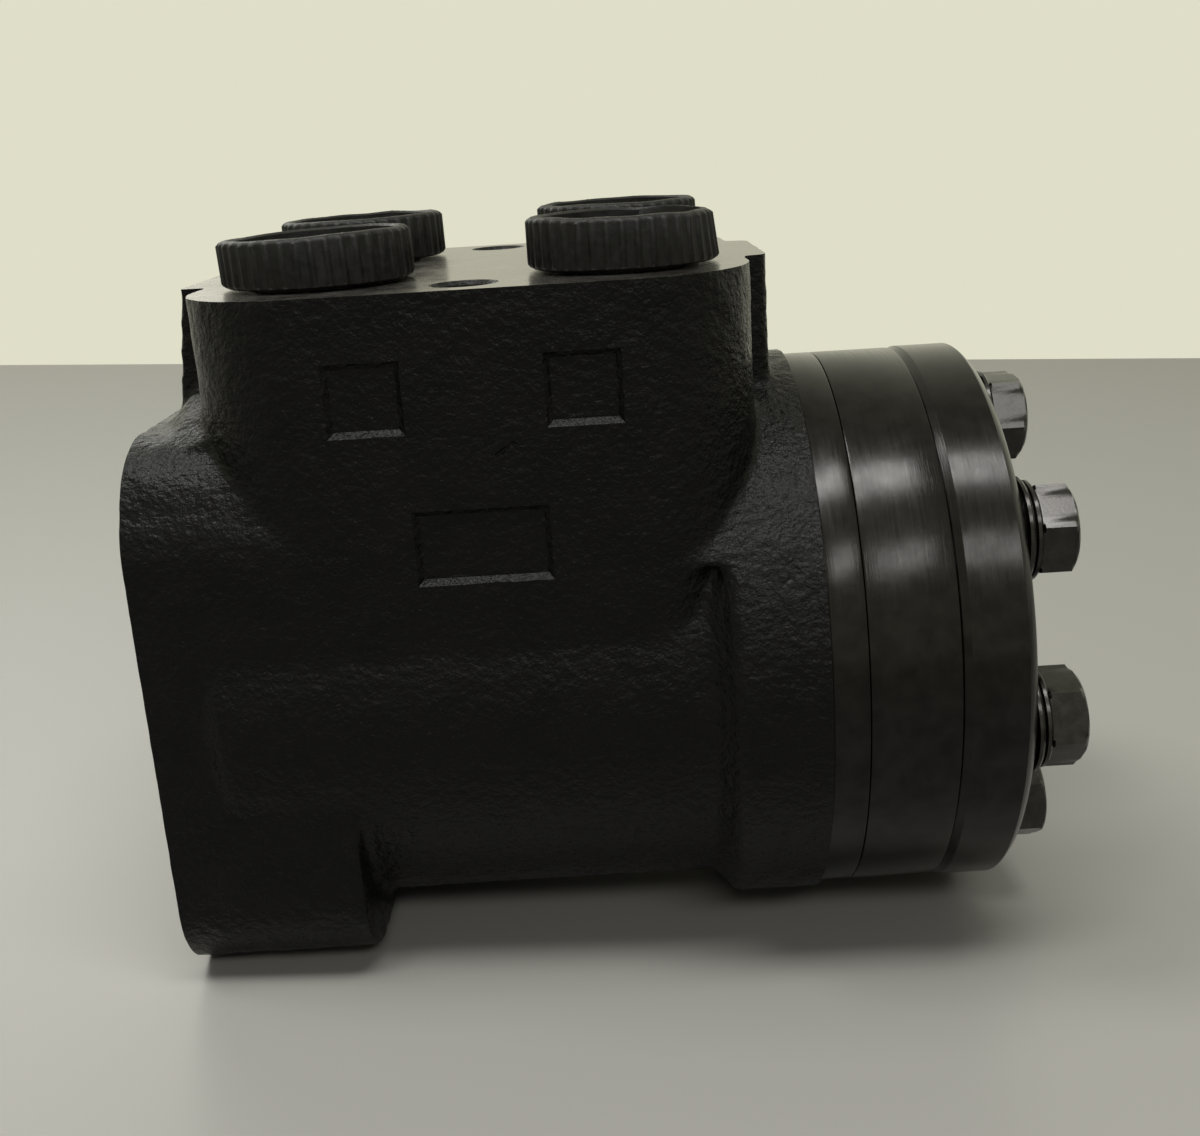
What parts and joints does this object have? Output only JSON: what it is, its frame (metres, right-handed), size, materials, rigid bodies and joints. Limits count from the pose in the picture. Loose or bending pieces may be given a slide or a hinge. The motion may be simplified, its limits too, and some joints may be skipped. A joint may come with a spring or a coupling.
{
  "type": "orbital steering unit",
  "caption": "Orbital hydraulic steering unit: cast valve housing with capped ports on top, square column flange at one end and a screwed gerotor stack at the other.",
  "frame": {"origin": "middle of the column mounting face, on the shaft axis", "axes": "+X along the shaft to the end cover, +Z to the port face"},
  "size_m": [0.1356, 0.0904, 0.1157],
  "materials": {
    "cast_black": "black painted casting, satin",
    "dark_steel": "oiled, fine-turned dark steel",
    "black_oxide": "black oxide",
    "ground_steel": "ground and hardened",
    "spring_steel": "blued spring steel",
    "seal_rubber": "nitrile rubber",
    "light_washer": "bright sealing ring",
    "plug_plastic": "matte black polyethylene"
  },
  "bodies": {
    "housing_body": {"housing": "cast_black", "valve_plugs": "ground_steel", "dust_seal": "seal_rubber", "shaft_seal": "seal_rubber", "outer_bearing_race": "ground_steel", "distribution_plate": "dark_steel", "gerotor_ring": "dark_steel", "end_cover": "dark_steel", "housing_o_ring": "seal_rubber", "ring_o_ring": "seal_rubber", "cover_o_ring": "seal_rubber", "screw_sealing_rings": "light_washer", "screw_washers": "black_oxide", "cover_screws": "black_oxide"},
    "sleeve_body": {"control_sleeve": "ground_steel", "spring_retaining_ring": "ground_steel", "cross_pin": "ground_steel", "inner_bearing_race": "ground_steel", "centring_springs": "spring_steel"},
    "spool_body": {"valve_spool": "ground_steel"},
    "cage_body": {"bearing_cage": "ground_steel", "bearing_rollers": "ground_steel"},
    "orbit_body": {"shaft_spacer": "ground_steel"},
    "star_body": {"gerotor_star": "ground_steel"},
    "shaft_body": {"drive_shaft": "ground_steel"},
    "plug_front_column_body": {"port_plug_front_column": "plug_plastic"},
    "plug_front_cover_body": {"port_plug_front_cover": "plug_plastic"},
    "plug_rear_column_body": {"port_plug_rear_column": "plug_plastic"},
    "plug_rear_cover_body": {"port_plug_rear_cover": "plug_plastic"}
  },
  "joints": [
    {"name": "sleeve_turn", "type": "hinge", "parent": "housing_body", "child": "sleeve_body", "pos_m": [0, 0, 0], "axis": [1, 0, 0], "continuous": true},
    {"name": "spool_offset", "type": "hinge", "parent": "sleeve_body", "child": "spool_body", "pos_m": [0, 0, 0], "axis": [1, 0, 0], "range_deg": [-8, 8], "stiffness_Nm_per_rad": 6, "deforming": ["centring_springs"]},
    {"name": "cage_turn", "type": "hinge", "parent": "housing_body", "child": "cage_body", "pos_m": [0, 0, 0], "axis": [1, 0, 0], "continuous": true},
    {"name": "star_orbit", "type": "hinge", "parent": "housing_body", "child": "orbit_body", "pos_m": [0, 0, 0], "axis": [1, 0, 0], "continuous": true},
    {"name": "star_turn", "type": "hinge", "parent": "orbit_body", "child": "star_body", "pos_m": [0.1089, 0, 0.0032], "axis": [1, 0, 0], "continuous": true},
    {"name": "shaft_turn", "type": "hinge", "parent": "orbit_body", "child": "shaft_body", "pos_m": [0.042, 0, 0], "axis": [0.9989, 0, 0.0478], "continuous": true},
    {"name": "plug_pull_front_column", "type": "slide", "parent": "housing_body", "child": "plug_front_column_body", "axis": [0, 0, 1], "range_m": [0, 0.012]},
    {"name": "plug_pull_front_cover", "type": "slide", "parent": "housing_body", "child": "plug_front_cover_body", "axis": [0, 0, 1], "range_m": [0, 0.012]},
    {"name": "plug_pull_rear_column", "type": "slide", "parent": "housing_body", "child": "plug_rear_column_body", "axis": [0, 0, 1], "range_m": [0, 0.012]},
    {"name": "plug_pull_rear_cover", "type": "slide", "parent": "housing_body", "child": "plug_rear_cover_body", "axis": [0, 0, 1], "range_m": [0, 0.012]}
  ],
  "couplings": [
    {"joint": "cage_turn", "follows": "sleeve_turn", "ratio": 0.5},
    {"joint": "star_orbit", "follows": "sleeve_turn", "ratio": -6},
    {"joint": "star_turn", "follows": "sleeve_turn", "ratio": 7},
    {"joint": "shaft_turn", "follows": "sleeve_turn", "ratio": 7}
  ]
}
